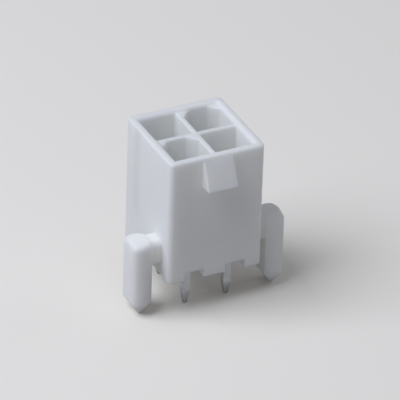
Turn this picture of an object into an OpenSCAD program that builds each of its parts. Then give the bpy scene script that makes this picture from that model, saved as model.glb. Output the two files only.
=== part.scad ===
// Board header with four keyed pockets in two rows: one moulded housing and four pressed-in pin terminals.
// z = 0 is the top face of the circuit board, +Z is the way the mating plug comes off,
// and the latch ramp is on the -Y face. The origin is the middle of the housing's footprint.

/* [Housing] */
// Width of the housing along X
body_width = 9.6; // [8.8:0.1:12]
// Depth of the housing along Y
body_depth = 9.6; // [8.8:0.1:12]
// Height of the rim above the board
body_height = 12.8; // [11.6:0.1:16]
// Thickness of the outer walls
wall = 0.85; // [0.6:0.05:1]
// Thickness of the walls between the pockets
partition = 0.5; // [0.4:0.05:0.9]
// Radius of the four upright outer edges
edge_radius = 0.5; // [0.1:0.05:0.6]
// Height of the pocket floor above the board
floor_top = 2.6; // [2.3:0.1:4]
// Size of the cut-off corners in the two keyed pockets
key_corner = 0.9; // [0.4:0.05:1.2]
// Depth of the flared mouth, and of the tops of the inner walls below the rim
mouth_depth = 0.25; // [0.1:0.05:0.5]
// How far each outer wall slopes back from the mouth up to the rim
mouth_flare = 0.2; // [0.05:0.05:0.4]

/* [Feet] */
// Height of the hollow under the floor, and of the notches in the front and back walls
foot_height = 0.85; // [0.7:0.05:1.1]
// Width of the notch in front of each tail
notch_width = 2; // [1.4:0.1:2.4]
// Depth of the feet along Y
foot_depth = 1; // [0.7:0.05:1.2]
// Thickness of the side walls round the hollow
skirt = 0.8; // [0.5:0.05:1.1]
// Height of the shallow relief under the side walls
side_relief = 0.3; // [0.1:0.05:0.5]

/* [Latch ramp] */
// Width of the ramp along X
ramp_width = 3.15; // [2:0.05:4]
// How far the ramp's catching edge stands out from the front wall
ramp_reach = 1.3; // [0.8:0.05:1.8]
// How far the blunt upper end stands out
ramp_nose = 0.15; // [0.1:0.05:0.7]
// Height of the small slope above the blunt end
ramp_lead = 0.15; // [0.1:0.05:0.4]
// Height of the upright land at the catching edge
ramp_land = 0.2; // [0.1:0.05:0.4]
// Distance from the rim down to the start of the ramp
ramp_drop = 0.25; // [0.1:0.05:0.6]
// Distance from the rim down to the catching ledge
ledge_drop = 3.1; // [2:0.1:4.5]

/* [Board pegs] */
// Distance from the side wall out to a peg's axis
peg_standoff = 2; // [1.7:0.05:2.6]
// Distance from the front wall back to a peg's axis
peg_setback = 2.4; // [1.8:0.05:3]
// Radius of the round sides of a peg
peg_radius = 1.5; // [1.25:0.05:1.6]
// Distance between the two flats of a peg
peg_flats = 1.96; // [1.6:0.02:2.2]
// How far the barb stands out from the round side
barb_lip = 0.1; // [0.04:0.02:0.2]
// Depth of the barb's widest line below the board's top face
barb_depth = 2.2; // [1.7:0.05:2.8]
// Height of the slope on top of the barb
barb_slope = 0.15; // [0.05:0.05:0.3]
// Length of the pointed tip below the barb
peg_tip = 1.3; // [0.9:0.05:1.8]
// Length of the ridge at the end of the tip
ridge_length = 1.4; // [0.8:0.05:1.8]
// Width of the ridge at the end of the tip
ridge_width = 0.2; // [0.1:0.05:0.4]
// Height of the flat top of a peg above the board
peg_crown = 4.12; // [3.6:0.02:5]
// Width of that flat
crown_flat = 0.8; // [0.4:0.1:1.8]
// Radius of the dome round the flat
crown_radius = 6; // [2.5:0.1:8]
// Radius of the soft edge between the crown and the round sides
crown_edge = 0.6; // [0.2:0.05:0.8]
// Radius of the edge between the crown and the flats
flat_edge = 0.12; // [0.05:0.01:0.4]
// Thickness of the web that joins a peg to the side wall
web_thickness = 2; // [1.4:0.05:2.4]
// Height of the underside of the web above the board
web_bottom = 1.7; // [1.2:0.05:2.2]
// Radius of the two upper edges of the web
web_edge = 0.55; // [0.1:0.05:0.65]
// Height of the crown above the top of the web
web_drop = 0.15; // [0.1:0.05:0.4]

/* [Terminals] */
// Distance between neighbouring pins, along X and along Y
pitch = 4.2; // [3.8:0.05:4.4]
// Side of the square mating pin
pin_side = 1.07; // [0.9:0.01:1.2]
// Length of the mating pin above the pocket floor
pin_length = 6.7; // [5:0.1:7.5]
// Length of the tapered end of the pin
pin_taper = 0.9; // [0.5:0.05:1.4]
// Side of the pin's blunt end
pin_end = 0.45; // [0.3:0.05:0.7]
// Width of the shank that is held in the floor
shank_width = 1.45; // [1.3:0.01:1.7]
// Thickness of the floor above the shank's shoulders
shoulder_cover = 0.4; // [0.3:0.05:0.6]
// Room between a terminal and the sides of its slot
slot_fit = 0.03; // [0.01:0.01:0.06]
// Width of the solder tail along X
tail_width = 0.8; // [0.6:0.05:1]
// Thickness of the solder tail along Y, and height of the jog above it
tail_thickness = 0.65; // [0.5:0.01:0.7]
// Radius round the outside of the jog's two bends
bend_outside = 0.4; // [0.2:0.05:0.55]
// Radius inside the bend above the tail
bend_inside = 0.15; // [0.05:0.05:0.25]
// Room between the jog and the underside of the floor
jog_fit = 0.05; // [0.02:0.01:0.1]
// Distance between the two rows of tails along Y
tail_rows = 5.5; // [5.2:0.1:6]
// How far the two rows of tails lie toward the front
tail_shift = 0.2; // [0:0.05:0.3]
// Length of a tail below the board's top face
tail_length = 3.6; // [2.8:0.1:4.5]
// Length of the tapered end of a tail
tail_taper = 1.3; // [0.8:0.1:1.8]
// Width of the tail's blunt end
tail_end = 0.35; // [0.25:0.05:0.5]

/* [Hidden] */
$fn = 48;

nylon_white = [0.93, 0.93, 0.91];
tin_grey = [0.72, 0.73, 0.75];

// the cutters run past a face by this much so that no skin is left on it
cut_over = 0.5;
// an added form starts this far inside the wall that carries it
root_depth = wall / 2;

pocket_width = (body_width - 2 * wall - partition) / 2;
pocket_depth = (body_depth - 2 * wall - partition) / 2;
pocket_x = (partition + pocket_width) / 2;
pocket_y = (partition + pocket_depth) / 2;

pin_x = pitch / 2;
pin_y = pitch / 2;
pin_top = floor_top + pin_length;
shank_top = floor_top - shoulder_cover;
jog_top = foot_height - jog_fit;
jog_bottom = jog_top - tail_thickness;
front_jog = tail_rows / 2 + tail_shift - pin_y;
back_jog = tail_rows / 2 - tail_shift - pin_y;

peg_x = body_width / 2 + peg_standoff;
peg_y = peg_setback - body_depth / 2;
peg_end = -barb_depth - peg_tip;
crown_centre = peg_crown - sqrt(pow(crown_radius, 2) - pow(crown_flat / 2, 2));
// centre of the soft edge's arc, which touches the dome and the round side
edge_x = peg_radius - crown_edge;
edge_z = crown_centre + sqrt(pow(crown_radius - crown_edge, 2) - pow(edge_x, 2));

// outline with four round corners, centred on the origin
module round_outline(width, depth, radius) {
    square([width - 2 * radius, depth], center = true);
    square([width, depth - 2 * radius], center = true);
    for (x = [-1, 1], y = [-1, 1])
        translate([x * (width / 2 - radius), y * (depth / 2 - radius)]) circle(radius);
}

// upright outline between two heights, with its two upper corners rounded
module round_topped(width, low, high, radius) {
    translate([-width / 2, low]) square([width, high - radius - low]);
    translate([radius - width / 2, low]) square([width - 2 * radius, high - low]);
    for (x = [-1, 1])
        translate([x * (width / 2 - radius), high - radius]) circle(radius);
}

// what a round corner leaves of a square one, about the centre of its arc
module outside_arc(radius) {
    difference() {
        square(radius);
        circle(radius);
    }
}

// block that is centred in X and Y and stands between two heights
module block(width, depth, low, high) {
    translate([-width / 2, -depth / 2, low]) cube([width, depth, high - low]);
}

// outline drawn in X and Z, carried along Y to both sides of the XZ plane
module along_y(length) {
    rotate([90, 0, 0]) linear_extrude(length, center = true) children();
}

// outline drawn in Y and Z, carried along X to both sides of the YZ plane
module along_x(length) {
    rotate([90, 0, 90]) linear_extrude(length, center = true) children();
}

// outline of a keyed pocket: both back corners are cut off
module keyed_outline() {
    half_w = pocket_width / 2;
    half_d = pocket_depth / 2;
    polygon([
        [-half_w, -half_d], [half_w, -half_d], [half_w, half_d - key_corner],
        [half_w - key_corner, half_d], [key_corner - half_w, half_d], [-half_w, half_d - key_corner]
    ]);
}

// the four pockets: front left and back right are keyed
module pockets() {
    for (x = [-1, 1], y = [-1, 1])
        translate([x * pocket_x, y * pocket_y, floor_top])
            linear_extrude(body_height - floor_top + cut_over)
                if (x * y > 0) keyed_outline();
                else square([pocket_width, pocket_depth], center = true);
}

// cross-section of the mouth between two outer walls
module mouth_outline(size) {
    low = body_height - mouth_depth;
    bottom = size / 2 - wall;
    top = bottom + mouth_flare;
    polygon([
        [-bottom, low], [bottom, low], [top, body_height], [top, body_height + cut_over],
        [-top, body_height + cut_over], [-top, body_height]
    ]);
}

// the flared mouth over all four pockets
module mouth() {
    intersection() {
        along_x(body_width) mouth_outline(body_depth);
        along_y(body_depth) mouth_outline(body_width);
    }
}

// the stepped slot that holds each terminal's shank by its shoulders
module terminal_slots() {
    for (x = [-1, 1], y = [-1, 1])
        translate([x * pin_x, y * pin_y, 0]) {
            block(pin_side + 2 * slot_fit, pin_side + 2 * slot_fit, foot_height, floor_top + cut_over);
            block(shank_width + 2 * slot_fit, pin_side + 2 * slot_fit, 0, shank_top);
        }
}

// the hollow under the floor, the notches in front of the tails and the side reliefs
module underside() {
    block(body_width - 2 * skirt, body_depth - 2 * foot_depth, -cut_over, foot_height);
    for (x = [-1, 1])
        translate([x * pin_x, 0, 0]) block(notch_width, body_depth + 2 * cut_over, -cut_over, foot_height);
    block(body_width + 2 * cut_over, body_depth - 2 * foot_depth, -cut_over, side_relief);
}

// sloping catch on the front wall that the plug's latch snaps under
module latch_ramp() {
    front = -body_depth / 2;
    top = body_height - ramp_drop;
    ledge = body_height - ledge_drop;
    along_x(ramp_width) polygon([
        [front + root_depth, top], [front, top], [front - ramp_nose, top - ramp_lead],
        [front - ramp_reach, ledge + ramp_land], [front - ramp_reach, ledge], [front + root_depth, ledge]
    ]);
}

// round side of a peg, with its barb, tapered end and domed crown, about the peg's own axis
module peg_turning() {
    ledge = -barb_depth + barb_slope;
    dome_height = edge_z - crown_centre;
    rotate_extrude() {
        polygon([
            [0, peg_end], [ridge_length / 2, peg_end], [peg_radius + barb_lip, -barb_depth],
            [peg_radius, ledge], [peg_radius, edge_z], [0, edge_z]
        ]);
        translate([edge_x, edge_z]) circle(crown_edge);
        translate([0, crown_centre]) intersection() {
            circle(crown_radius);
            polygon(2 * [[0, 0], [edge_x, dome_height], [0, dome_height]]);
        }
    }
}

// the two flats of a peg, drawn in to a ridge at the end and rounded over at the top
module peg_flats_form() {
    half = peg_flats / 2;
    along_y(4 * peg_radius) {
        polygon([
            [-half, 0], [-half, -barb_depth], [-ridge_width / 2, peg_end],
            [ridge_width / 2, peg_end], [half, -barb_depth], [half, 0]
        ]);
        round_topped(peg_flats, -barb_depth, peg_crown, flat_edge);
    }
}

// one snap-in peg with its web, on the +X side
module board_peg() {
    web_length = peg_standoff + root_depth;
    translate([peg_x, peg_y, 0]) {
        intersection() {
            peg_turning();
            peg_flats_form();
        }
        translate([-web_length / 2, 0, 0])
            along_x(web_length) round_topped(web_thickness, web_bottom, peg_crown - web_drop, web_edge);
    }
}

module housing() {
    color(nylon_white) {
        difference() {
            linear_extrude(body_height) round_outline(body_width, body_depth, edge_radius);
            pockets();
            mouth();
            terminal_slots();
            underside();
        }
        latch_ramp();
        board_peg();
        mirror([1, 0, 0]) board_peg();
    }
}

// outline of a terminal seen from the front
module terminal_front_view() {
    half = [
        [pin_end / 2, pin_top], [pin_side / 2, pin_top - pin_taper], [pin_side / 2, shank_top],
        [shank_width / 2, shank_top], [shank_width / 2, foot_height], [tail_width / 2, foot_height],
        [tail_width / 2, tail_taper - tail_length], [tail_end / 2, -tail_length]
    ];
    last = len(half) - 1;
    polygon(concat(half, [for (i = [last:-1:0]) [-half[i][0], half[i][1]]]));
}

// outline of a terminal seen from the side, with its tail bent away from the pin
module terminal_side_view(jog) {
    inner = jog - tail_thickness / 2;
    outer = jog + tail_thickness / 2;
    // the upper bend ends where the jog leaves the pin, the lower one where the bend above the tail starts
    upper_bend = min(bend_outside, outer - pin_side / 2);
    lower_bend = min(bend_outside, inner - bend_inside + pin_side / 2);
    difference() {
        polygon([
            [-pin_end / 2, pin_top], [-pin_side / 2, pin_top - pin_taper], [-pin_side / 2, jog_bottom],
            [inner, jog_bottom], [inner, tail_taper - tail_length], [jog - tail_end / 2, -tail_length],
            [jog + tail_end / 2, -tail_length], [outer, tail_taper - tail_length], [outer, jog_top],
            [pin_side / 2, jog_top], [pin_side / 2, pin_top - pin_taper], [pin_end / 2, pin_top]
        ]);
        if (upper_bend > 0)
            translate([outer - upper_bend, jog_top - upper_bend]) outside_arc(upper_bend);
        if (lower_bend > 0)
            translate([lower_bend - pin_side / 2, jog_bottom + lower_bend]) rotate(180) outside_arc(lower_bend);
    }
    translate([inner - bend_inside, jog_bottom - bend_inside]) outside_arc(bend_inside);
}

// one pin terminal about its own pin axis, with its tail stepped toward +Y
module terminal(jog) {
    color(tin_grey) intersection() {
        along_y(2 * (jog + pitch)) terminal_front_view();
        along_x(2 * pitch) terminal_side_view(jog);
    }
}

module terminal_front_left() {
    translate([-pin_x, -pin_y, 0]) mirror([0, 1, 0]) terminal(front_jog);
}

module terminal_front_right() {
    translate([pin_x, -pin_y, 0]) mirror([0, 1, 0]) terminal(front_jog);
}

module terminal_back_left() {
    translate([-pin_x, pin_y, 0]) terminal(back_jog);
}

module terminal_back_right() {
    translate([pin_x, pin_y, 0]) terminal(back_jog);
}

housing();
terminal_front_left();
terminal_front_right();
terminal_back_left();
terminal_back_right();
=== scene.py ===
import math

import bmesh
import bpy
from mathutils import Matrix, Vector


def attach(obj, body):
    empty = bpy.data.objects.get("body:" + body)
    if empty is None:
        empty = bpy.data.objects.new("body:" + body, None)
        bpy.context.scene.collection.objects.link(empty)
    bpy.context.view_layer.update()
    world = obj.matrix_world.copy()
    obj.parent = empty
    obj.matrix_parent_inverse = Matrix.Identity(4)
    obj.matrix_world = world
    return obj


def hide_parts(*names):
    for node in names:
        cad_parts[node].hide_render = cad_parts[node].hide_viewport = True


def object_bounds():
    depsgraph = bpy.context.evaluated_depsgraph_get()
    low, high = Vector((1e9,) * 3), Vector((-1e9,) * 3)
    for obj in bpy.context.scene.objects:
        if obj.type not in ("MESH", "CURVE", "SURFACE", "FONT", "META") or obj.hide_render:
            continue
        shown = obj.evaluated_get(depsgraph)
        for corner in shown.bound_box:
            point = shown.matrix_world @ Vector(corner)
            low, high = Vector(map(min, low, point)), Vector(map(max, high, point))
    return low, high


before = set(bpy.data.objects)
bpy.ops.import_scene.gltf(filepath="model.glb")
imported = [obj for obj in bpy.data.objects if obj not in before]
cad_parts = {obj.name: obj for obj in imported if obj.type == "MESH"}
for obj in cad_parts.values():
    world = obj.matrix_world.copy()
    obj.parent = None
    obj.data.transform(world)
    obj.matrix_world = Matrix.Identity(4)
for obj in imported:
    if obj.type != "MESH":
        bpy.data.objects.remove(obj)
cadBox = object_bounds()
mm = 0.001  # the frame is in metres, sizes below are in millimetres
print("frame loaded:", ", ".join(sorted(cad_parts)))


# shared helpers

limits = {
    "weld": 0.0005,          # mm, corners nearer than this are one corner
    "onPlane": 0.0001,       # mm, a corner this near a cutting plane lies on it
    "atTop": 0.001,          # mm, a face that ends this near the top reaches it
    "flatTurn": 0.5,         # degrees, faces that turn less than this are one face
    "uprightFace": 0.1,      # share of z in a face's normal, below it the face stands upright
    "uprightEdge": 0.99,     # share of z in an edge's direction, above it the edge stands upright
}


def linearColour(hexText):
    # sRGB hex to the linear values that a shader socket takes
    channels = [int(hexText[i:i + 2], 16) / 255 for i in (1, 3, 5)]
    return [c / 12.92 if c <= 0.04045 else ((c + 0.055) / 1.055) ** 2.4 for c in channels] + [1.0]


def addNode(tree, kind, links=None, inputs=None, **settings):
    # one node, its settings, its socket values and the links that come in
    node = tree.nodes.new(kind)
    for name, value in settings.items():
        setattr(node, name, value)
    for socket, value in (inputs or {}).items():
        node.inputs[socket].default_value = value
    for socket, source in (links or {}).items():
        tree.links.new(source, node.inputs[socket])
    return node


def setRamp(node, positions, colours):
    # the two stops of a colour ramp
    for element, position, colour in zip(node.color_ramp.elements, positions, colours):
        element.position = position
        element.color = linearColour(colour)


def newMaterial(name):
    material = bpy.data.materials.new(name)
    material.use_nodes = True
    tree = material.node_tree
    tree.nodes.clear()
    return material, tree


def cutPlane(shape, faces, place, normal, clearOuter=False):
    # cut some faces along a plane, each edge and corner given once and in order
    edges = dict.fromkeys(edge for face in faces for edge in face.edges)
    verts = dict.fromkeys(vert for face in faces for vert in face.verts)
    return bmesh.ops.bisect_plane(shape, geom=faces + list(edges) + list(verts), dist=limits["onPlane"] * mm,
                                  plane_co=place, plane_no=normal, clear_outer=clearOuter)


def cutWalls(shape, height):
    # a level line round the upright faces that reach the top, so that the rim has faces of its own
    walls = [face for face in shape.faces if abs(face.normal.z) < limits["uprightFace"]
             and max(vert.co.z for vert in face.verts) > cadBox[1][2] - limits["atTop"] * mm]
    line = cutPlane(shape, walls, (0, 0, height), (0, 0, 1))
    for part in line["geom_cut"]:
        if isinstance(part, bmesh.types.BMEdge):
            part.seam = True


def copySolid(nodeName, pieceName, cutHeight=None):
    # a clean copy of a CAD solid: welded, with flat faces joined into single faces
    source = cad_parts[nodeName]
    shape = bmesh.new()
    shape.from_mesh(source.data)
    shape.transform(source.matrix_world)
    bmesh.ops.remove_doubles(shape, verts=shape.verts, dist=limits["weld"] * mm)
    if cutHeight is not None:
        cutWalls(shape, cutHeight)
    bmesh.ops.dissolve_limit(shape, angle_limit=math.radians(limits["flatTurn"]),
                             verts=shape.verts, edges=shape.edges, delimit={"SEAM"})
    bmesh.ops.recalc_face_normals(shape, faces=shape.faces)
    mesh = bpy.data.meshes.new(pieceName)
    piece = bpy.data.objects.new(pieceName, mesh)
    bpy.context.scene.collection.objects.link(piece)
    return piece, shape


def finishSolid(piece, shape, edgeWidth, segments, sharpAngle):
    # round the edges that carry a weight, then shade smooth across the small angles
    shape.to_mesh(piece.data)
    shape.free()
    rounding = piece.modifiers.new("edge rounding", "BEVEL")
    rounding.limit_method = "WEIGHT"
    rounding.width = edgeWidth * mm
    rounding.segments = segments
    # clamped, the shortest edge would take the rounding off all the others
    rounding.use_clamp_overlap = False
    rounded = bpy.data.meshes.new_from_object(piece.evaluated_get(bpy.context.evaluated_depsgraph_get()))
    piece.modifiers.clear()
    piece.data = rounded
    rounded.shade_smooth()
    rounded.set_sharp_from_angle(angle=math.radians(sharpAngle))
    normals = piece.modifiers.new("face normals", "WEIGHTED_NORMAL")
    normals.keep_sharp = True


# moulded housing

housingLook = {
    "rimRounding": 0.22,     # mm, outer edge of the open end, where the mould parts
    "innerRounding": 0.14,   # mm, every edge inside the rim, one size so that they meet cleanly
    "rampRounding": 0.18,    # mm, edges of the latch ramp
    "roundingSteps": 4,
    "sharpAngle": 28,        # degrees, edges flatter than this belong to a curve
    "rampStart": 0.05,       # mm ahead of the front wall, where the ramp's own edges begin
    "wallMargin": 0.01,      # mm, an edge this near the outer walls or the top lies on them
    "mouthReach": 0.5,       # mm below the rim in which the edges of the open end lie
    "pocketFloor": 2.5,      # mm, height above which an upright edge is one of a pocket's corners
    "rimStrip": 0.235,       # mm below the rim, a line between its rounding and the top of the latch ramp
    "pegRadius": 0.9,        # mm, radius over which a peg's flat runs into its round sides and its crown
    "pegFoot": -1.9,         # mm, height above which it does, the barb below stays crisp
    "pegSteps": (0.2, 0.5, 0.8),  # shares of the turn at which it is cut
    "pegInside": 5.2,        # mm from the middle, faces beyond it belong to a peg
    "pegWeld": 0.002,        # mm, corners that the cuts leave this close are joined
}


def softenPegs(shape, look):
    # planes that touch a rounding of the flat's edge cut it off bit by bit
    radius = look["pegRadius"] * mm
    for side in (-1, 1):
        flat = max(shape.faces, key=lambda face: side * face.calc_center_median().x)
        cuts = []
        for edge in flat.edges:
            if max(vert.co.z for vert in edge.verts) < look["pegFoot"] * mm:
                continue
            other = [face for face in edge.link_faces if face is not flat][0]
            turn = flat.normal.angle(other.normal)
            inward = (flat.normal + other.normal).normalized() * radius / math.cos(turn / 2)
            for share in look["pegSteps"]:
                normal = flat.normal.slerp(other.normal, share)
                cuts.append((edge.verts[0].co - inward + normal * radius, normal))
        for place, normal in cuts:
            peg = [face for face in shape.faces
                   if min(side * vert.co.x for vert in face.verts) > look["pegInside"] * mm]
            cutPlane(shape, peg, place, normal, clearOuter=True)
            gap = [edge for edge in shape.edges if edge.is_boundary]
            if gap:
                bmesh.ops.holes_fill(shape, edges=gap)
    bmesh.ops.remove_doubles(shape, verts=shape.verts, dist=look["pegWeld"] * mm)
    bmesh.ops.recalc_face_normals(shape, faces=shape.faces)


def housingRounding(edge, look):
    # rounding in mm of one edge of the open end, a pocket or the ramp, the other edges stay as in the solid
    top = cadBox[1][2]
    outerWall = cadBox[1][1]  # half the width of the square body
    lowest = min(vert.co.z for vert in edge.verts)
    reach = max(max(abs(vert.co.x), abs(vert.co.y)) for vert in edge.verts)
    ahead = -sum(vert.co.y for vert in edge.verts) / 2 - outerWall
    inside = reach < outerWall - look["wallMargin"] * mm
    upright = abs((edge.verts[1].co - edge.verts[0].co).normalized().z) > limits["uprightEdge"]
    onWall = any(abs(face.normal.z) < limits["uprightFace"] for face in edge.link_faces)
    if len(edge.link_faces) != 2 or edge.calc_face_angle(0) < math.radians(look["sharpAngle"]):
        return 0.0
    if ahead > look["rampStart"] * mm:
        return look["rampRounding"]
    if inside and upright and lowest > look["pocketFloor"] * mm:
        return look["innerRounding"]
    if lowest < top - look["mouthReach"] * mm:
        return 0.0
    if onWall and lowest > top - look["wallMargin"] * mm:
        return look["rimRounding"]
    return look["innerRounding"] if inside else 0.0


def buildHousing(look):
    piece, shape = copySolid("housing", "mouldedHousing", cadBox[1][2] - look["rimStrip"] * mm)
    softenPegs(shape, look)
    weights = shape.edges.layers.float.new("bevel_weight_edge")
    widest = max(look["rimRounding"], look["innerRounding"], look["rampRounding"])
    for edge in shape.edges:
        edge[weights] = housingRounding(edge, look) / widest
    finishSolid(piece, shape, widest, look["roundingSteps"], look["sharpAngle"])
    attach(piece, "root")
    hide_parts("housing")
    return piece


# stamped terminals

terminalLook = {
    "edgeRounding": 0.05,    # mm, burr-free edges of a stamped and coined pin
    "roundingSteps": 2,
    "sharpAngle": 5,         # degrees, so that the tapers keep their flat faces
    "shadeAngle": 50,        # degrees, the rounding shades smooth below this
}


def buildTerminal(nodeName, look):
    piece, shape = copySolid(nodeName, "stamped_" + nodeName)
    weights = shape.edges.layers.float.new("bevel_weight_edge")
    for edge in shape.edges:
        if len(edge.link_faces) == 2 and edge.calc_face_angle(0) > math.radians(look["sharpAngle"]):
            edge[weights] = 1.0
    finishSolid(piece, shape, look["edgeRounding"], look["roundingSteps"], look["shadeAngle"])
    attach(piece, "root")
    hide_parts(nodeName)
    return piece


housing = buildHousing(housingLook)
terminalNodes = [name for name in sorted(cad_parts) if name.startswith("terminal")]
terminals = [buildTerminal(name, terminalLook) for name in terminalNodes]
print("pieces built:", 1 + len(terminals))


# materials

nylonFinish = {
    "colour": "#FDFEFA",         # natural nylon, a milky white
    "cloudColour": "#F9FAF6",    # slightly denser resin along the flow
    "cloudSize": 3.5,            # mm
    "cloudSpread": (0.35, 0.65),
    "markColour": "#ECEDEB",     # a faint darker upright band on the left wall
    "markPlace": (-4.6, 2.4),    # mm, x beyond which the band shows and y of its middle
    "markWidth": 1.4,            # mm from its middle to where it ends
    "markFade": (2.2, 5.5),      # mm, heights between which it fades in
    # spark-eroded mould skin, drawn about five times too coarse so that it shows
    "grainSize": 0.28,           # mm
    "grainDepth": 0.004,         # mm
    "grainSpread": (0.3, 0.7),
    "roughness": (0.40, 0.50),
    "ior": 1.53,
    "translucency": 1.0,
    "scatter": 1.0,              # mm that light travels in the wall
    "scatterTint": (1.0, 0.95, 0.88),  # red light goes a little further than blue
}


def mouldedNylon(finish):
    # natural nylon 66, injection moulded: a milky satin white that light sinks into a little
    material, tree = newMaterial("mouldedNaturalNylon")
    place = addNode(tree, "ShaderNodeTexCoord")
    clouds = addNode(tree, "ShaderNodeTexNoise", {"Vector": place.outputs["Object"]},
                     {"Scale": 1 / (finish["cloudSize"] * mm), "Detail": 3.0, "Roughness": 0.5})
    tint = addNode(tree, "ShaderNodeValToRGB", {"Fac": clouds.outputs["Fac"]})
    setRamp(tint, finish["cloudSpread"], (finish["cloudColour"], finish["colour"]))
    spot = addNode(tree, "ShaderNodeSeparateXYZ", {"Vector": place.outputs["Object"]})
    aside = addNode(tree, "ShaderNodeMath", {0: spot.outputs["Y"]}, {1: finish["markPlace"][1] * mm},
                    operation="SUBTRACT")
    away = addNode(tree, "ShaderNodeMath", {0: aside.outputs["Value"]}, operation="ABSOLUTE")
    band = addNode(tree, "ShaderNodeMapRange", {"Value": away.outputs["Value"]},
                   {"From Min": 0.0, "From Max": finish["markWidth"] * mm, "To Min": 1.0, "To Max": 0.0},
                   interpolation_type="SMOOTHSTEP")
    rise = addNode(tree, "ShaderNodeMapRange", {"Value": spot.outputs["Z"]},
                   {"From Min": finish["markFade"][0] * mm, "From Max": finish["markFade"][1] * mm},
                   interpolation_type="SMOOTHSTEP")
    outside = addNode(tree, "ShaderNodeMath", {0: spot.outputs["X"]}, {1: finish["markPlace"][0] * mm},
                      operation="LESS_THAN")
    column = addNode(tree, "ShaderNodeMath", {0: band.outputs["Result"], 1: rise.outputs["Result"]},
                     operation="MULTIPLY")
    mark = addNode(tree, "ShaderNodeMath", {0: column.outputs["Value"], 1: outside.outputs["Value"]},
                   operation="MULTIPLY")
    blend = addNode(tree, "ShaderNodeMix", {"Factor": mark.outputs["Value"], 6: tint.outputs["Color"]},
                    {7: linearColour(finish["markColour"])}, data_type="RGBA")
    grain = addNode(tree, "ShaderNodeTexNoise", {"Vector": place.outputs["Object"]},
                    {"Scale": 1 / (finish["grainSize"] * mm), "Detail": 2.0, "Roughness": 0.6})
    satin = addNode(tree, "ShaderNodeMapRange", {"Value": grain.outputs["Fac"]},
                    {"From Min": finish["grainSpread"][0], "From Max": finish["grainSpread"][1],
                     "To Min": finish["roughness"][0], "To Max": finish["roughness"][1]})
    relief = addNode(tree, "ShaderNodeBump", {"Height": grain.outputs["Fac"]},
                     {"Strength": 1.0, "Distance": finish["grainDepth"] * mm})
    skin = addNode(tree, "ShaderNodeBsdfPrincipled",
                   {"Base Color": blend.outputs[2], "Roughness": satin.outputs["Result"],
                    "Normal": relief.outputs["Normal"]},
                   {"IOR": finish["ior"], "Subsurface Weight": finish["translucency"],
                    "Subsurface Radius": finish["scatterTint"], "Subsurface Scale": finish["scatter"] * mm})
    addNode(tree, "ShaderNodeOutputMaterial", {"Surface": skin.outputs["BSDF"]})
    return material


tinFinish = {
    "colour": "#C8CACE",         # dull tin plate
    "dullColour": "#B6B8BC",     # where the plating is thinner
    "patchSize": 0.9,            # mm
    "patchSpread": (0.3, 0.7),
    "lineSpacing": 0.07,         # mm, drawing lines along the strip
    "lineStretch": (1.0, 1.0, 0.04),
    "lineDepth": 0.0015,         # mm
    "lineSpread": (0.3, 0.7),
    "roughness": (0.42, 0.58),
}


def tinPlatedBrass(finish):
    # stamped brass strip under matte tin plate: a soft grey metal with faint lines along the pin
    material, tree = newMaterial("stampedTinPlatedBrass")
    place = addNode(tree, "ShaderNodeTexCoord")
    patches = addNode(tree, "ShaderNodeTexNoise", {"Vector": place.outputs["Object"]},
                      {"Scale": 1 / (finish["patchSize"] * mm), "Detail": 4.0, "Roughness": 0.55})
    tint = addNode(tree, "ShaderNodeValToRGB", {"Fac": patches.outputs["Fac"]})
    setRamp(tint, finish["patchSpread"], (finish["dullColour"], finish["colour"]))
    along = addNode(tree, "ShaderNodeMapping", {"Vector": place.outputs["Object"]},
                    {"Scale": finish["lineStretch"]})
    lines = addNode(tree, "ShaderNodeTexNoise", {"Vector": along.outputs["Vector"]},
                    {"Scale": 1 / (finish["lineSpacing"] * mm), "Detail": 2.0, "Roughness": 0.6})
    dullness = addNode(tree, "ShaderNodeMapRange", {"Value": lines.outputs["Fac"]},
                       {"From Min": finish["lineSpread"][0], "From Max": finish["lineSpread"][1],
                        "To Min": finish["roughness"][0], "To Max": finish["roughness"][1]})
    relief = addNode(tree, "ShaderNodeBump", {"Height": lines.outputs["Fac"]},
                     {"Strength": 1.0, "Distance": finish["lineDepth"] * mm})
    plate = addNode(tree, "ShaderNodeBsdfPrincipled",
                    {"Base Color": tint.outputs["Color"], "Roughness": dullness.outputs["Result"],
                     "Normal": relief.outputs["Normal"]},
                    {"Metallic": 1.0})
    addNode(tree, "ShaderNodeOutputMaterial", {"Surface": plate.outputs["BSDF"]})
    return material


nylon = mouldedNylon(nylonFinish)
tin = tinPlatedBrass(tinFinish)
housing.data.materials.append(nylon)
for terminal in terminals:
    terminal.data.materials.append(tin)
print("materials set")


# stage: pale floor and soft studio light

stageLook = {
    "floorColour": "#FFFAF2",    # as the camera sees it
    "bounceColour": "#B0AEAA",   # what the floor sends back up to the object
    "floorSize": 600,            # mm
    "worldColour": "#EDF0F8",
    "worldLight": 0.252,
}


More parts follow.
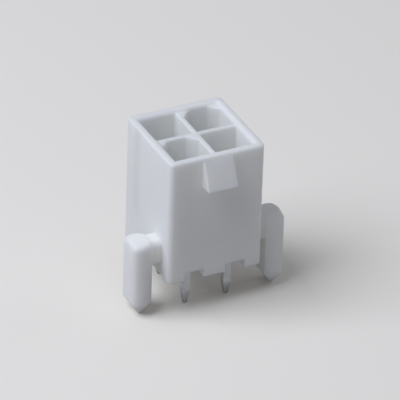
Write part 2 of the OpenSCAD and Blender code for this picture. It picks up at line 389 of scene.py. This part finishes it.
def buildStage(look):
    lowest = cadBox[0][2]
    half = look["floorSize"] / 2 * mm
    mesh = bpy.data.meshes.new("floor")
    corners = [(-half, -half, lowest), (half, -half, lowest), (half, half, lowest), (-half, half, lowest)]
    mesh.from_pydata(corners, [], [(0, 1, 2, 3)])
    floor = bpy.data.objects.new("floor", mesh)
    bpy.context.scene.collection.objects.link(floor)
    material, tree = newMaterial("paleStudioFloor")
    paper = addNode(tree, "ShaderNodeBsdfDiffuse", None, {"Color": linearColour(look["floorColour"])})
    bounce = addNode(tree, "ShaderNodeBsdfDiffuse", None, {"Color": linearColour(look["bounceColour"])})
    path = addNode(tree, "ShaderNodeLightPath")
    mirrored = addNode(tree, "ShaderNodeMath",
                       {0: path.outputs["Is Glossy Ray"], 1: path.outputs["Is Transmission Ray"]},
                       operation="MAXIMUM")
    seen = addNode(tree, "ShaderNodeMath", {0: path.outputs["Is Camera Ray"], 1: mirrored.outputs["Value"]},
                   operation="MAXIMUM")
    surface = addNode(tree, "ShaderNodeMixShader",
                      {0: seen.outputs["Value"], 1: bounce.outputs["BSDF"], 2: paper.outputs["BSDF"]})
    addNode(tree, "ShaderNodeOutputMaterial", {"Surface": surface.outputs["Shader"]})
    mesh.materials.append(material)
    world = bpy.data.worlds.new("softRoom")
    bpy.context.scene.world = world
    world.use_nodes = True
    world.node_tree.nodes.clear()
    air = addNode(world.node_tree, "ShaderNodeBackground", None,
                  {"Color": linearColour(look["worldColour"]), "Strength": look["worldLight"]})
    addNode(world.node_tree, "ShaderNodeOutputWorld", {"Surface": air.outputs["Background"]})


lampLook = {
    # name: direction from the object, distance in mm, side of the square lamp in mm, watts, colour
    "keyLamp": ((-0.58, 0.05, 0.81), 400, 300, 1.20, "#EFF4FF"),
    "fillLamp": ((0.94, 0.05, 0.33), 400, 300, 0.17, "#EFF4FF"),
}


def buildLamps(look):
    for name, (direction, distance, side, watts, colour) in look.items():
        lamp = bpy.data.lights.new(name, "AREA")
        lamp.shape = "SQUARE"
        lamp.size = side * mm
        lamp.energy = watts
        lamp.color = linearColour(colour)[:3]
        holder = bpy.data.objects.new(name, lamp)
        toward = Vector(direction).normalized()
        holder.location = toward * distance * mm
        holder.rotation_euler = (-toward).to_track_quat("-Z", "Y").to_euler()
        bpy.context.scene.collection.objects.link(holder)


# camera at the photograph's viewing angle

cameraLook = {
    "azimuth": -26.77,           # degrees, 0 looks along +Y
    "elevation": 31.54,
    "roll": 1.95,
    "distance": 625.6,           # mm
    "focalPixels": 6771.0,       # focal length in pixels of the 400 pixel frame
    "framePixels": 400,
    "sensorWidth": 36.0,         # mm
    "clip": (10, 10000),         # mm, nearest and farthest distance drawn
    "centre": (0.0, 0.0, 6.0),   # mm, point of the object that the frame is set by
    "centrePixel": (193.9, 193.7),
}


def buildCamera(look):
    turn, rise, roll = (math.radians(look[k]) for k in ("azimuth", "elevation", "roll"))
    toward = Vector((math.cos(rise) * math.sin(turn), -math.cos(rise) * math.cos(turn), math.sin(rise)))
    facing = (-toward).to_track_quat("-Z", "Y").to_matrix() @ Matrix.Rotation(roll, 3, "Z")
    lens = bpy.data.cameras.new("photoCamera")
    lens.sensor_width = look["sensorWidth"]
    lens.lens = look["focalPixels"] / look["framePixels"] * lens.sensor_width
    lens.clip_start = look["clip"][0] * mm
    lens.clip_end = look["clip"][1] * mm
    # slide the camera sideways until the centre point falls on its pixel
    perPixel = look["distance"] / look["focalPixels"] * mm
    across = (look["framePixels"] / 2 - look["centrePixel"][0]) * perPixel
    down = (look["framePixels"] / 2 - look["centrePixel"][1]) * perPixel
    holder = bpy.data.objects.new("photoCamera", lens)
    place = Vector(look["centre"]) * mm + toward * look["distance"] * mm
    place += facing @ Vector((across, -down, 0))
    holder.matrix_world = Matrix.Translation(place) @ facing.to_4x4()
    bpy.context.scene.collection.objects.link(holder)
    bpy.context.scene.camera = holder


buildStage(stageLook)
buildLamps(lampLook)
buildCamera(cameraLook)
bpy.context.scene.view_settings.view_transform = "Standard"
print("stage, lamps and camera set")
